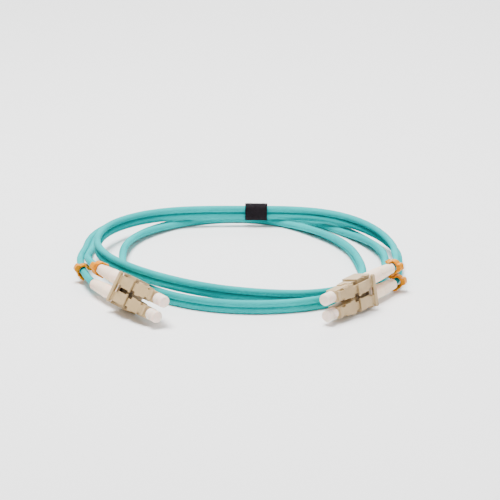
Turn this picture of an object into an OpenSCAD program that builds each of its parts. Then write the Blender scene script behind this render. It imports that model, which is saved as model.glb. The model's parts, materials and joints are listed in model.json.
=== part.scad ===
// Coiled duplex fibre patch cord with a clipped pair of plugs at each end.
// Millimetres, +Z up, the surface it lies on at Z = 0.
// Plug frame: +X towards the ferrule's tip from the nose's front face, +Z towards the latch.

/* [Cord] */
// Diameter of one strand's jacket
jacket_dia = 2.8; // [2.6:0.05:2.9]
// Distance between the centres of the two joined strands
strand_pitch = 2.9; // [2.85:0.05:3.1]
// Diameter of the buffered fibre inside
buffer_dia = 0.9; // [0.6:0.05:1.0]

/* [Plug] */
// Distance between the axes of the two plugs of a pair
plug_pitch = 6.25; // [6.2:0.05:6.5]
// Side of the square nose
nose_side = 4.52; // [4.45:0.01:4.56]
// Length of the nose, from its front face to the step
nose_length = 9.6; // [9.2:0.1:10.0]
// Diameter of the ceramic ferrule
ferrule_dia = 1.249; // [1.2:0.001:1.3]
// How far the ferrule stands out of the nose
ferrule_reach = 1.9; // [1.6:0.1:2.2]
// How far the ferrule can be pushed back
ferrule_stroke = 0.8; // [0.4:0.1:1.0]

/* [Latch and trigger] */
// Width of the latch's arm
latch_width = 3; // [2.6:0.1:3.4]
// Width over the latch's two locking lugs
lug_width = 5.2; // [4.8:0.1:5.4]
// Width over the pair's clip
clip_width = 12.6; // [12.4:0.1:13.2]
// Width of the crest bar on the trigger
crest_width = 12.5; // [12.0:0.1:12.8]

/* [Boot and dust cap] */
// Length of the boot behind the clip
boot_length = 19.5; // [17:0.5:22]
// Boot diameter at the clip
boot_front_dia = 5.6; // [5.2:0.1:5.9]
// Boot diameter at the tail
boot_tail_dia = 4.2; // [4.0:0.1:4.4]
// Number of ribs on the rear half of the boot
boot_ribs = 8; // [5:1:10]
// Diameter of the dust cap's head
cap_dia = 4.5; // [4.2:0.1:5.0]
// Length of the dust cap's head
cap_length = 5.3; // [4.5:0.1:6.0]

/* [Marker and tie] */
// Outer diameter of the marker ring
marker_dia = 6; // [5.7:0.1:6.1]
// Length of the marker ring along the cord
marker_length = 2.8; // [2.4:0.1:3.2]
// Width of the tie along the cord
tie_width = 9; // [6:0.5:10]
// Thickness of the tie
tie_thickness = 0.4; // [0.3:0.05:0.6]

/* [Hidden] */
$fn = 48;
fit_gap = 0.05;
hinge_gap = 0.06;
overrun = 1;

// Where the coil's centre stands, seen from the origin.
ring_centre = [0, 10, 0];

// Pairs: nose face in the ring's frame, heading and lean.
left_nose = [-31.7, -70.4];
left_yaw = -57;
left_roll = 59;
right_nose = [34.8, -68];
right_yaw = -124.5;
right_roll = -80;

// Nose and housing.
nose_half = nose_side / 2;
nose_chamfer = 0.35;
housing_length = nose_length + 2.8;
housing_rear_side = 5.2;
front_bore_r = 1.45;
front_bore_depth = 4;
shoulder = 0.6;
cavity_r = 1.3;
flange_front = -front_bore_depth - shoulder - fit_gap;
front_bar_length = 1.8;
front_bar_height = 0.84;
socket_side = 3.4;
socket_depth = 1.5;
side_rib_length = 2.2;

// Ferrule, flange, spring and fibre.
ferrule_r = ferrule_dia / 2;
ferrule_seat = 1.8;
flange_r = cavity_r - 2 * fit_gap;
flange_length = 3.2;
flange_rear = flange_front - flange_length;
flange_rim = 2.2;
spring_seat = -housing_length - 0.4;
spring_wire = 0.3;
spring_turns = 7;
spring_mean_r = 1.04;
fibre_bore_r = 0.75;
fibre_end_gap = 1;

// Rear body and crimp sleeve.
collar_side = 4.9;
collar_rear = -housing_length - 3.2;
neck_length = 4.4;
neck_rear = collar_rear - neck_length;
neck_r = jacket_dia / 2 + fit_gap;
neck_groove = 0.15;
sleeve_r = neck_r + 0.4;
sleeve_rear = neck_rear - 2.6;
sleeve_front = collar_rear - 0.4;

// Latch.
latch_pivot_x = -front_bar_length - hinge_gap - 0.4;
latch_knuckle_r = 0.4;
latch_pivot_z = nose_half + hinge_gap + latch_knuckle_r;
latch_length = 10.3;
latch_rise = 1.28;
latch_thickness = 0.8;
lug_front = -3.9;
lug_rear = -9.4;
lug_shoulder = 2.4;

// Clip and trigger.
clip_front = -housing_length - 0.8;
clip_rear = -housing_length - 9.5;
clip_half = clip_width / 2;
clip_top = 3.2;
clip_bottom = 3.3;
pocket_side = collar_side + 2 * fit_gap;
pocket_rear = collar_rear - 0.1;
spigot_r = sleeve_r + 0.4;
cheek_thick = 0.65;
cheek_length = 3.3;
cheek_top = 4.2;
snap_slot = 1.6;
side_notch = [1.5, 0.35, 0.9];
trigger_pivot_x = clip_rear + 0.6;
trigger_knuckle_r = 0.4;
trigger_pivot_z = clip_top + hinge_gap + trigger_knuckle_r;
crest_rear = clip_rear - 0.3;
crest_front = clip_rear + 1.5;
crest_bottom = 4.5;
crest_top = 5.6;
finger_bottom = 4.6;
finger_top = 5.2;
finger_front = -housing_length + 1.2;
finger_outer = 5.1;
window_half = 1.6;
window_front = crest_front + 2.8;
slot_half = 0.8;
lip_half = 0.35;
lip_length = 0.9;
finger_groove = [0.7, 1.4, 0.22];
post_inner = 1.9;
post_width = 2.6;
post_half = 0.4;

// Boot.
boot_front_r = boot_front_dia / 2;
boot_tail_r = boot_tail_dia / 2;
boot_front = clip_rear - 0.6;
boot_tail = boot_front - boot_length;
boot_spigot_front = collar_rear - 1.2 - 1;
boot_bore_r = jacket_dia / 2 + 0.2;
boot_plain_share = 0.5;
rib_depth = 0.16;
boot_waist_drop = 0.15;

// Dust cap.
cap_r = cap_dia / 2;
cap_dome_r = 3.2;
cap_sleeve_r = front_bore_r - 0.15;
cap_sleeve_length = 3.5;
cap_bore_r = ferrule_r + 0.03;
cap_bore_end = ferrule_reach + 0.7;
cap_grip_grooves = 3;
cap_grip_depth = 0.12;

// Marker ring.
marker_r = marker_dia / 2;
marker_bore_r = jacket_dia / 2 + 0.25;
marker_mouth_r = boot_tail_r + 0.15;
marker_mouth_depth = 1.3;
marker_opening = 2.2;
marker_lobe_r = 0.75;
marker_flag = 1.6;
marker_tab = [2.6, 0.5, 2];

// Coil: one station every eighth of a turn, from the left side over the back, clockwise from above.
// The cord leaves the first pair on the floor and its later turns lie on top of the earlier ones.
station_turn = 45;
coil_start = 16;
coil_end = 891;
ring_step = 175 / 12;
station_radius = [58.5, 72.5, 71, 60, 57.5, 61.5, 58.5, 52, 46.5, 55, 61,
                  49, 46.5, 57, 51, 53, 56.5, 59.5, 53.6, 60, 62.5];
station_height = [1.4, 1.4, 1.4, 1.5, 2.6, 2.5, 2.5, 2.5, 2.5, 2.1, 1.4,
                  2.1, 2.5, 2.8, 5.4, 9.1, 8.9, 7, 6.3, 6.5, 4.4];
// 0 lies flat with the second strand outside, 90 stands on edge.
station_roll = [15, 8, 0, 0, 90, 90, 90, 90, 90, 20, -10,
                40, 90, 90, 90, 90, 90, 90, 90, 90, 55];
tie_middle = 817;

// Free legs in the ring's frame, from the split to behind the boot.
left_a_way = [[-59.8, 4, 3.9], [-59.9, -7, 6.3], [-59.2, -17.5, 8.6], [-57.4, -25.5, 9.6]];
left_b_way = [[-63.6, 4, 1.9], [-62.7, -7, 3.4], [-61.4, -17.6, 4.4], [-60.2, -22.4, 4.5],
              [-58.7, -29, 4.5]];
right_a_way = [[61.1, -1, 6.6], [60.9, -12, 8.6], [60.9, -22, 9.7]];
right_b_way = [[62.9, -3, 3.4], [62.2, -14, 3.7], [61.7, -24, 3.8], [61, -29.2, 3.8]];

// Markers: distance behind the boot's tail on the plug's axis, or a place and heading of their own.
left_a_marker_back = 1;
right_a_marker_back = 1.8;
left_b_marker_at = [-60.8, -20, 4.45];
left_b_marker_yaw = -76;
right_b_marker_at = [60.4, -31, 3.75];
right_b_marker_yaw = -110;

// ---- Vectors and frames ----

function unit(v) = v / norm(v);
function turn_x(a, v) = [v[0], v[1] * cos(a) - v[2] * sin(a), v[1] * sin(a) + v[2] * cos(a)];
function turn_z(a, v) = [v[0] * cos(a) - v[1] * sin(a), v[0] * sin(a) + v[1] * cos(a), v[2]];

// The clip's lowest edge touches the floor.
function pair_height(roll) = clip_half * abs(sin(roll)) + clip_bottom * cos(roll);
function pair_origin(nose, roll) = ring_centre + [nose[0], nose[1], pair_height(roll)];
function in_world(nose, yaw, roll, p) = pair_origin(nose, roll) + turn_z(yaw, turn_x(roll, p));
function left_point(lane, x) = in_world(left_nose, left_yaw, left_roll, [x, lane * plug_pitch / 2, 0]);
function right_point(lane, x) = in_world(right_nose, right_yaw, right_roll, [x, lane * plug_pitch / 2, 0]);

module left_plug(lane) {
    translate(pair_origin(left_nose, left_roll))
        rotate([0, 0, left_yaw])
        rotate([left_roll, 0, 0])
        translate([0, lane * plug_pitch / 2, 0])
        children();
}

module right_plug(lane) {
    translate(pair_origin(right_nose, right_roll))
        rotate([0, 0, right_yaw])
        rotate([right_roll, 0, 0])
        translate([0, lane * plug_pitch / 2, 0])
        children();
}

// ---- Curves ----

// Smooth blend of a list of stations at place s.
function blend(v, s) =
    let (
        i = min(max(floor(s), 0), len(v) - 2),
        q = s - i,
        p1 = v[i],
        p2 = v[i + 1],
        m1 = (p2 - v[max(i - 1, 0)]) / 2,
        m2 = (v[min(i + 2, len(v) - 1)] - p1) / 2
    )
    p1 * (2 * pow(q, 3) - 3 * pow(q, 2) + 1) + m1 * (pow(q, 3) - 2 * pow(q, 2) + q)
    + p2 * (3 * pow(q, 2) - 2 * pow(q, 3)) + m2 * (pow(q, 3) - pow(q, 2));

function outward(turn) = [cos(180 - turn), sin(180 - turn), 0];
function cord_middle(turn) =
    ring_centre + blend(station_radius, turn / station_turn) * outward(turn)
    + [0, 0, blend(station_height, turn / station_turn)];
// From the second strand to the first one.
function cord_across(turn) =
    let (roll = blend(station_roll, turn / station_turn))
    -cos(roll) * outward(turn) + [0, 0, sin(roll)];
function cord_along(turn) =
    let (
        ahead = cord_middle(turn + 1) - cord_middle(turn - 1),
        across = cord_across(turn)
    )
    unit(ahead - (ahead * across) * across);

// Frames of the coil: middle, across and along, with a straight stretch at each end.
function frame_at(turn, slide) =
    [cord_middle(turn) + slide * cord_along(turn), cord_across(turn), cord_along(turn)];
coil_frames = concat(
    [frame_at(coil_start, -jacket_dia)],
    [for (turn = [coil_start : ring_step : coil_end + 0.01]) frame_at(turn, 0)],
    [frame_at(coil_end, jacket_dia)]
);
first_frame = coil_frames[0];
last_frame = coil_frames[len(coil_frames) - 1];

// Outline of the twin cord, two six-sided strands joined by their web.
function strand_corner(side, angle) =
    [side * strand_pitch / 2 + jacket_dia / 2 * cos(angle), jacket_dia / 2 * sin(angle)];
twin_outline = concat(
    [for (k = [0 : 5]) strand_corner(-1, 30 + 60 * k)],
    [for (k = [0 : 5]) strand_corner(1, 210 + 60 * k)]
);
twin_cap = [[0, 1, 2], [0, 2, 3], [0, 3, 4], [0, 4, 5], [0, 5, 6], [0, 6, 11],
            [11, 6, 7], [11, 7, 8], [11, 8, 9], [11, 9, 10]];

function on_floor(p) = [p[0], p[1], max(p[2], 0)];
function ring_points(frame, outline) =
    let (up = cross(frame[2], frame[1]))
    [for (p = outline) on_floor(frame[0] + p[0] * frame[1] - p[1] * up)];

function wall_faces(rings, sides) = [
    for (i = [0 : rings - 2])
        for (j = [0 : sides - 1])
            let (a = i * sides + j, b = i * sides + (j + 1) % sides)
                for (face = [[a, a + sides, b], [b, a + sides, b + sides]]) face
];
function moved_faces(cap, start) = [for (f = cap) [f[0] + start, f[1] + start, f[2] + start]];
function turned_faces(cap, start) = [for (f = cap) [f[2] + start, f[1] + start, f[0] + start]];

module sweep(frames, outline, cap) {
    sides = len(outline);
    rings = len(frames);
    polyhedron(
        points = [for (f = frames) for (p = ring_points(f, outline)) p],
        faces = concat(
            wall_faces(rings, sides),
            moved_faces(cap, 0),
            turned_faces(cap, (rings - 1) * sides)
        ),
        convexity = 10
    );
}

// Round tube along a list of points.
function round_outline(r, sides) = [for (k = [0 : sides - 1]) [r * cos(360 * k / sides), r * sin(360 * k / sides)]];
function fan_cap(sides) = [for (k = [1 : sides - 2]) [0, k, k + 1]];
function path_frame(path, i) =
    let (
        along = unit(path[min(i + 1, len(path) - 1)] - path[max(i - 1, 0)]),
        across = unit(cross([0, 0, 1], along))
    )
    [path[i], across, along];

module tube(path, r, sides) {
    frames = [for (i = [0 : len(path) - 1]) path_frame(path, i)];
    sweep(frames, round_outline(r, sides), fan_cap(sides));
}

// ---- Legs ----

leg_sides = 8;
leg_steps = 3;
leg_lead = 7;
tail_lead = 1.8;

function shifted(points) = [for (p = points) ring_centre + p];
function leg_curve(stations) = [
    for (i = [1 : len(stations) - 3])
        for (k = [0 : leg_steps - 1])
            blend(stations, i + k / leg_steps)
];
// The leg starts square on its strand of the coil and ends square on the rear body's neck.
function leg_path(start, heading, way, axis_point, neck_point) =
    let (
        lead_end = start + jacket_dia * heading,
        plug_heading = unit(neck_point - axis_point),
        stations = concat(
            [lead_end - leg_lead * heading, lead_end],
            shifted(way),
            [axis_point, axis_point + leg_lead * plug_heading]
        )
    )
    concat([start], leg_curve(stations), [axis_point, neck_point]);

function strand_end(frame, side) = frame[0] + side * strand_pitch / 2 * frame[1];

left_a_path = leg_path(strand_end(first_frame, 1), -first_frame[2], left_a_way,
                       left_point(1, boot_tail - tail_lead), left_point(1, neck_rear));
left_b_path = leg_path(strand_end(first_frame, -1), -first_frame[2], left_b_way,
                       left_point(-1, boot_tail + tail_lead), left_point(-1, neck_rear));
right_a_path = leg_path(strand_end(last_frame, 1), last_frame[2], right_a_way,
                        right_point(-1, boot_tail - tail_lead), right_point(-1, neck_rear));
right_b_path = leg_path(strand_end(last_frame, -1), last_frame[2], right_b_way,
                        right_point(1, boot_tail + tail_lead), right_point(1, neck_rear));

module leg(path) {
    color("#5cc0bc") tube(path, jacket_dia / 2, leg_sides);
}

// ---- Least gap between turns ----

gap_parts = 3;
function strand_line(side) = [
    for (i = [1 : len(coil_frames) - 3])
        for (k = [0 : gap_parts - 1])
            let (q = k / gap_parts)
                strand_end(coil_frames[i], side) * (1 - q) + strand_end(coil_frames[i + 1], side) * q
];
gap_skip = 5 * gap_parts;
line_a = strand_line(1);
line_b = strand_line(-1);
function least_between(p, q) = min([
    for (i = [0 : len(p) - gap_skip - 1])
        for (j = [i + gap_skip : len(q) - 1])
            norm(p[i] - q[j])
]);
least_gap = min(least_between(line_a, line_a), least_between(line_b, line_b),
                least_between(line_a, line_b), least_between(line_b, line_a)) - jacket_dia;
echo(least_gap_of_coil_to_itself = least_gap);

function length_of(path) = len(path) < 2 ? 0 : sum([for (i = [0 : len(path) - 2]) norm(path[i + 1] - path[i])], 0);
function sum(v, i) = i >= len(v) ? 0 : v[i] + sum(v, i + 1);
echo(coil_length = length_of(line_a), leg_lengths = [length_of(left_a_path), length_of(left_b_path),
                                                    length_of(right_a_path), length_of(right_b_path)]);

// ---- Shapes ----

// Cylinder from x0 to x1 about the X axis.
module round_x(x0, x1, r) {
    translate([x0, 0, 0])
        rotate([0, 90, 0])
        cylinder(h = x1 - x0, r = r);
}

module block_x(x0, x1, width, z0, z1) {
    translate([x0, -width / 2, z0])
        cube([x1 - x0, width, z1 - z0]);
}

// Outline in X and Z, as wide as given along Y.
module side_plate(outline, width) {
    rotate([90, 0, 0])
        linear_extrude(height = width, center = true)
        polygon(outline);
}

// Outline in X and Y, from z0 to z1.
module flat_plate(outline, z0, z1) {
    translate([0, 0, z0])
        linear_extrude(height = z1 - z0)
        polygon(outline);
}

// Round about the X axis: outline of [x, radius] points.
module turned(outline) {
    rotate([0, 90, 0])
        rotate_extrude()
        polygon([for (p = outline) [p[1], p[0]]]);
}

function chamfered(half, cut, front, rear) = [
    [rear, -half], [front - cut, -half], [front, -half + cut],
    [front, half - cut], [front - cut, half], [rear, half]
];

// ---- Housing ----

module nose_block() {
    intersection() {
        side_plate(chamfered(nose_half, nose_chamfer, 0, -nose_length), nose_side);
        flat_plate(chamfered(nose_half, nose_chamfer, 0, -nose_length), -nose_half, nose_half);
    }
}

module housing() {
    rear_half = housing_rear_side / 2;
    color("#c8b196")
        difference() {
            union() {
                nose_block();
                block_x(-housing_length, -nose_length, housing_rear_side, -rear_half, nose_half);
                block_x(-front_bar_length, -nose_chamfer, nose_side - 2 * nose_chamfer,
                        nose_half - nose_chamfer, nose_half + front_bar_height);
                block_x(-nose_length, side_rib_length - nose_length, housing_rear_side,
                        -nose_half, -nose_half + side_rib_length);
            }
            round_x(-front_bore_depth, overrun, front_bore_r);
            round_x(-front_bore_depth - shoulder - overrun, -front_bore_depth + overrun, ferrule_r + 0.09);
            round_x(-housing_length - overrun, -front_bore_depth - shoulder, cavity_r);
            block_x(-housing_length - overrun, -housing_length + socket_depth, socket_side,
                    -socket_side / 2, socket_side / 2);
        }
}

// ---- Latch, hinged at the nose's front ----

module latch() {
    x0 = latch_pivot_x;
    z0 = latch_pivot_z - latch_knuckle_r;
    tail = x0 - latch_length;
    arm = [[x0, z0], [x0, z0 + latch_thickness], [tail, z0 + latch_thickness + latch_rise],
           [tail, z0 + latch_rise]];
    color("#cdb79c")
        union() {
            translate([x0, 0, latch_pivot_z])
                rotate([90, 0, 0])
                cylinder(h = latch_width, r = latch_knuckle_r, center = true);
            side_plate(arm, latch_width);
            intersection() {
                side_plate(arm, lug_width);
                union() {
                    block_x(lug_rear, lug_front, nose_side, 0, crest_top);
                    block_x(lug_rear, lug_rear + lug_shoulder, lug_width, 0, crest_top);
                }
            }
        }
}

// ---- Rear body ----

module rear_body() {
    color("#b9a58c")
        difference() {
            union() {
                block_x(-housing_length, -housing_length + socket_depth, socket_side,
                        -socket_side / 2, socket_side / 2);
                block_x(collar_rear, -housing_length, collar_side, -collar_side / 2, collar_side / 2);
                turned([
                    [collar_rear, 0], [collar_rear, neck_r], [sleeve_front, neck_r],
                    [sleeve_front, neck_r - neck_groove], [sleeve_front - 0.5, neck_r - neck_groove],
                    [sleeve_front - 0.5, neck_r], [neck_rear, neck_r], [neck_rear, 0]
                ]);
            }
            round_x(spring_seat, overrun - housing_length + socket_depth, cavity_r);
            round_x(neck_rear - overrun, spring_seat + overrun, fibre_bore_r);
        }
}

// ---- Ferrule, flange, spring and buffered fibre ----

module ferrule() {
    tip_chamfer = 0.15;
    color("#f2f0ea")
        turned([
            [flange_front - ferrule_seat, 0], [flange_front - ferrule_seat, ferrule_r],
            [ferrule_reach - tip_chamfer, ferrule_r], [ferrule_reach, ferrule_r - tip_chamfer],
            [ferrule_reach, 0]
        ]);
}

module flange() {
    seat = flange_front - ferrule_seat;
    stub_r = spring_mean_r - spring_wire / 2 - fit_gap;
    color("#a8adb0")
        turned([
            [flange_front, ferrule_r], [flange_front, flange_r], [flange_front - flange_rim, flange_r],
            [flange_front - flange_rim, stub_r], [flange_rear, stub_r], [flange_rear, buffer_dia / 2],
            [seat, buffer_dia / 2], [seat, ferrule_r]
        ]);
}

// The wire starts and ends flat against its seats.
module spring() {
    front = flange_front - flange_rim - spring_wire / 2;
    rear = spring_seat + spring_wire / 2;
    rings = spring_turns * 8;
    wire_sides = 6;
    color("#8f9499")
        sweep_wire([
            for (k = [0 : rings])
                let (angle = 45 * k, x = front + (rear - front) * min(max((k - 4) / (rings - 8), 0), 1))
                    [x, spring_mean_r * cos(angle), spring_mean_r * sin(angle)]
        ], spring_wire / 2 * 0.98, wire_sides);
}

// Wire about the X axis, each ring standing in the plane through that axis.
module sweep_wire(path, r, sides) {
    rings = len(path);
    points = [
        for (p = path)
            let (out = unit([0, p[1], p[2]]))
                for (k = [0 : sides - 1])
                    p + r * cos(360 * k / sides) * out + [r * sin(360 * k / sides), 0, 0]
    ];
    polyhedron(
        points = points,
        faces = concat(
            wall_faces(rings, sides),
            moved_faces(fan_cap(sides), 0),
            turned_faces(fan_cap(sides), (rings - 1) * sides)
        ),
        convexity = 10
    );
}

module fibre() {
    color("#e8e4da")
        round_x(neck_rear + fibre_end_gap, flange_front - ferrule_seat, buffer_dia / 2);
}

// ---- Crimp sleeve and boot ----

module crimp_sleeve() {
    color("#9aa0a4")
        turned([
            [sleeve_rear, neck_r], [sleeve_rear, sleeve_r], [sleeve_front, sleeve_r], [sleeve_front, neck_r]
        ]);
}

module boot() {
    plain_rear = boot_front - boot_length * boot_plain_share;
    rib_pitch = (plain_rear - boot_tail - 0.8) / boot_ribs;
    slope = (boot_front_r - boot_waist_drop - boot_tail_r) / (plain_rear - boot_tail);
    function radius_at(x) = boot_tail_r + slope * (x - boot_tail);
    ribs = [
        for (k = [0 : boot_ribs - 1])
            let (x = plain_rear - k * rib_pitch)
                for (p = [[x, radius_at(x)], [x - rib_pitch * 0.6, radius_at(x - rib_pitch * 0.6)],
                          [x - rib_pitch * 0.6, radius_at(x) - rib_depth - 0.05],
                          [x - rib_pitch + 0.01, radius_at(x - rib_pitch) - rib_depth]]) p
    ];
    tail_round = 0.4;
    color("#eadfd9")
        turned(concat(
            [[boot_spigot_front, sleeve_r], [boot_spigot_front, spigot_r], [boot_front, spigot_r],
             [boot_front, boot_front_r]],
            ribs,
            [[boot_tail + 0.8, boot_tail_r], [boot_tail + tail_round, boot_tail_r],
             [boot_tail, boot_tail_r - tail_round], [boot_tail, boot_bore_r],
             [sleeve_rear, boot_bore_r], [sleeve_rear, sleeve_r]]
        ));
}

// ---- Dust cap ----

module dust_cap() {
    groove_pitch = 0.7;
    color("#e6dcd8")
        difference() {
            union() {
                intersection() {
                    round_x(0, cap_length, cap_r);
                    translate([cap_length - cap_dome_r, 0, 0])
                        union() {
                            sphere(r = cap_dome_r);
                            round_x(-2 * cap_dome_r, 0, cap_dome_r);
                        }
                }
                round_x(-cap_sleeve_length, fit_gap, cap_sleeve_r);
            }
            round_x(-cap_sleeve_length - overrun, cap_bore_end, cap_bore_r);
            for (k = [0 : cap_grip_grooves - 1])
                translate([0.9 + k * groove_pitch, 0, 0])
                    difference() {
                        round_x(0, 0.25, cap_r + overrun);
                        round_x(-overrun, overrun, cap_r - cap_grip_depth);
                    }
        }
}

// ---- Clip of a pair, centred between its plugs ----

module clip() {
    cheek_middle = clip_rear + cheek_length / 2;
    cheek_r = cheek_length / 2;
    color("#c4ad91")
        difference() {
            union() {
                block_x(clip_rear, clip_front, clip_width, -clip_bottom, clip_top);
                for (side = [-1, 1])
                    translate([0, side * (clip_half - cheek_thick / 2), 0])
                        union() {
                            block_x(clip_rear, clip_rear + cheek_length, cheek_thick, 0, cheek_top - cheek_r);
                            translate([cheek_middle, 0, cheek_top - cheek_r])
                                rotate([90, 0, 0])
                                cylinder(h = cheek_thick, r = cheek_r, center = true);
                        }
            }
            for (lane = [-1, 1])
                translate([0, lane * plug_pitch / 2, 0]) {
                    block_x(pocket_rear, clip_front + overrun, pocket_side, -pocket_side / 2, pocket_side / 2);
                    round_x(clip_rear - overrun, pocket_rear + overrun, spigot_r + fit_gap);
                    block_x(clip_rear - overrun, clip_front + overrun, snap_slot, -clip_bottom - overrun, 0);
                }
            for (side = [-1, 1])
                translate([clip_rear + cheek_length + 0.6, side * clip_half, clip_top])
                    cube([side_notch[0], 2 * side_notch[1], 2 * side_notch[2]], center = true);
        }
}

// ---- Trigger of a pair ----

module trigger() {
    bar_half = crest_width / 2;
    bar_r = (crest_front - crest_rear) / 2;
    color("#cfb99e")
        union() {
            block_x(crest_rear, crest_front, 2 * (bar_half - bar_r), crest_bottom, crest_top);
            for (side = [-1, 1])
                translate([crest_rear + bar_r, side * (bar_half - bar_r), crest_bottom])
                cylinder(h = crest_top - crest_bottom, r = bar_r);
            finger();
            mirror([0, 1, 0])
                finger();
            for (side = [-1, 1])
                translate([0, side * (post_inner + post_width / 2), 0]) {
                    block_x(trigger_pivot_x - post_half, trigger_pivot_x + post_half, post_width,
                            trigger_pivot_z, crest_bottom + fit_gap);
                    translate([trigger_pivot_x, 0, trigger_pivot_z])
                        rotate([90, 0, 0])
                        cylinder(h = post_width, r = trigger_knuckle_r, center = true);
                }
        }
}

module finger() {
    difference() {
        flat_plate([
            [crest_front - fit_gap, window_half], [window_front, window_half], [window_front, slot_half],
            [finger_front - lip_length, slot_half], [finger_front - lip_length, lip_half],
            [finger_front, lip_half], [finger_front, finger_outer], [crest_front - fit_gap, finger_outer]
        ], finger_bottom, finger_top);
        translate([crest_front + finger_groove[0], 0, finger_top - finger_groove[2]])
            cube([finger_groove[1], crest_width, overrun]);
    }
}

// ---- Marker ring, mouth towards +X ----

module marker() {
    tab_r = marker_mouth_r + fit_gap;
    color("#fba31b")
        difference() {
            union() {
                rotate([90, 0, 90])
                    linear_extrude(height = marker_length, center = true)
                    marker_outline();
                for (side = [-1, 1])
                    translate([marker_length / 2 - fit_gap, side * (tab_r + marker_tab[1] / 2) - marker_tab[1] / 2,
                               -marker_tab[2] / 2])
                        cube(marker_tab);
            }
            round_x(-marker_length, marker_length, marker_bore_r);
            round_x(marker_length / 2 - marker_mouth_depth, marker_length + marker_tab[0], marker_mouth_r);
        }
}

module marker_outline() {
    lobe_z = -sqrt(pow(marker_r - marker_lobe_r, 2) - pow(marker_opening / 2 + marker_lobe_r, 2));
    difference() {
        union() {
            circle(r = marker_r);
            polygon([[-marker_r * 0.7, marker_r * 0.6], [0, marker_r + marker_flag], [marker_r * 0.7, marker_r * 0.6]]);
        }
        translate([-marker_opening / 2, -marker_r - overrun])
            square([marker_opening, marker_r + overrun]);
    }
    for (side = [-1, 1])
        translate([side * (marker_opening / 2 + marker_lobe_r), lobe_z])
            circle(r = marker_lobe_r);
}

module placed_marker(at, yaw, roll) {
    translate(ring_centre + at)
        rotate([0, 0, yaw])
        rotate([roll, 0, 0])
        marker();
}

// ---- Nodes ----

module coil() {
    color("#5cc0bc") sweep(coil_frames, twin_outline, twin_cap);
}

module tie_band() {
    along = cord_along(tie_middle);
    slack = 0.3;
    half_height = strand_pitch / 2;
    inner_r = jacket_dia / 2 + slack;
    color("#2d2429")
        translate(cord_middle(tie_middle))
        rotate([0, -asin(along[2]), atan2(along[1], along[0])])
        rotate([90, 0, 90])
        linear_extrude(height = tie_width, center = true)
        difference() {
            oblong(half_height, inner_r + tie_thickness);
            oblong(half_height, inner_r);
        }
}

module oblong(half_height, r) {
    square([2 * r, 2 * half_height], center = true);
    for (side = [-1, 1])
        translate([0, side * half_height])
            circle(r = r);
}

module left_a_leg() { leg(left_a_path); }
module left_b_leg() { leg(left_b_path); }
module right_a_leg() { leg(right_a_path); }
module right_b_leg() { leg(right_b_path); }

module left_a_marker() {
    left_plug(1)
        translate([boot_tail - left_a_marker_back, 0, 0])
        marker();
}
module left_b_marker() { placed_marker(left_b_marker_at, left_b_marker_yaw, left_roll); }
module right_a_marker() {
    right_plug(-1)
        translate([boot_tail - right_a_marker_back, 0, 0])
        marker();
}
module right_b_marker() { placed_marker(right_b_marker_at, right_b_marker_yaw, right_roll); }

module left_clip() { left_plug(0) clip(); }
module right_clip() { right_plug(0) clip(); }
module left_trigger() { left_plug(0) trigger(); }
module right_trigger() { right_plug(0) trigger(); }

module left_a_housing() { left_plug(1) housing(); }
module left_b_housing() { left_plug(-1) housing(); }
module right_a_housing() { right_plug(-1) housing(); }
module right_b_housing() { right_plug(1) housing(); }

module left_a_latch() { left_plug(1) latch(); }
module left_b_latch() { left_plug(-1) latch(); }
module right_a_latch() { right_plug(-1) latch(); }
module right_b_latch() { right_plug(1) latch(); }

module left_a_rear_body() { left_plug(1) rear_body(); }
module left_b_rear_body() { left_plug(-1) rear_body(); }
module right_a_rear_body() { right_plug(-1) rear_body(); }
module right_b_rear_body() { right_plug(1) rear_body(); }

module left_a_ferrule() { left_plug(1) ferrule(); }
module left_b_ferrule() { left_plug(-1) ferrule(); }
module right_a_ferrule() { right_plug(-1) ferrule(); }
module right_b_ferrule() { right_plug(1) ferrule(); }

module left_a_flange() { left_plug(1) flange(); }
module left_b_flange() { left_plug(-1) flange(); }
module right_a_flange() { right_plug(-1) flange(); }
module right_b_flange() { right_plug(1) flange(); }

module left_a_spring() { left_plug(1) spring(); }
module left_b_spring() { left_plug(-1) spring(); }
module right_a_spring() { right_plug(-1) spring(); }
module right_b_spring() { right_plug(1) spring(); }

module left_a_fibre() { left_plug(1) fibre(); }
module left_b_fibre() { left_plug(-1) fibre(); }
module right_a_fibre() { right_plug(-1) fibre(); }
module right_b_fibre() { right_plug(1) fibre(); }

module left_a_crimp_sleeve() { left_plug(1) crimp_sleeve(); }
module left_b_crimp_sleeve() { left_plug(-1) crimp_sleeve(); }
module right_a_crimp_sleeve() { right_plug(-1) crimp_sleeve(); }
module right_b_crimp_sleeve() { right_plug(1) crimp_sleeve(); }

module left_a_boot() { left_plug(1) boot(); }
module left_b_boot() { left_plug(-1) boot(); }
module right_a_boot() { right_plug(-1) boot(); }
module right_b_boot() { right_plug(1) boot(); }

module left_a_dust_cap() { left_plug(1) dust_cap(); }
module left_b_dust_cap() { left_plug(-1) dust_cap(); }
module right_a_dust_cap() { right_plug(-1) dust_cap(); }
module right_b_dust_cap() { right_plug(1) dust_cap(); }

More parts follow.
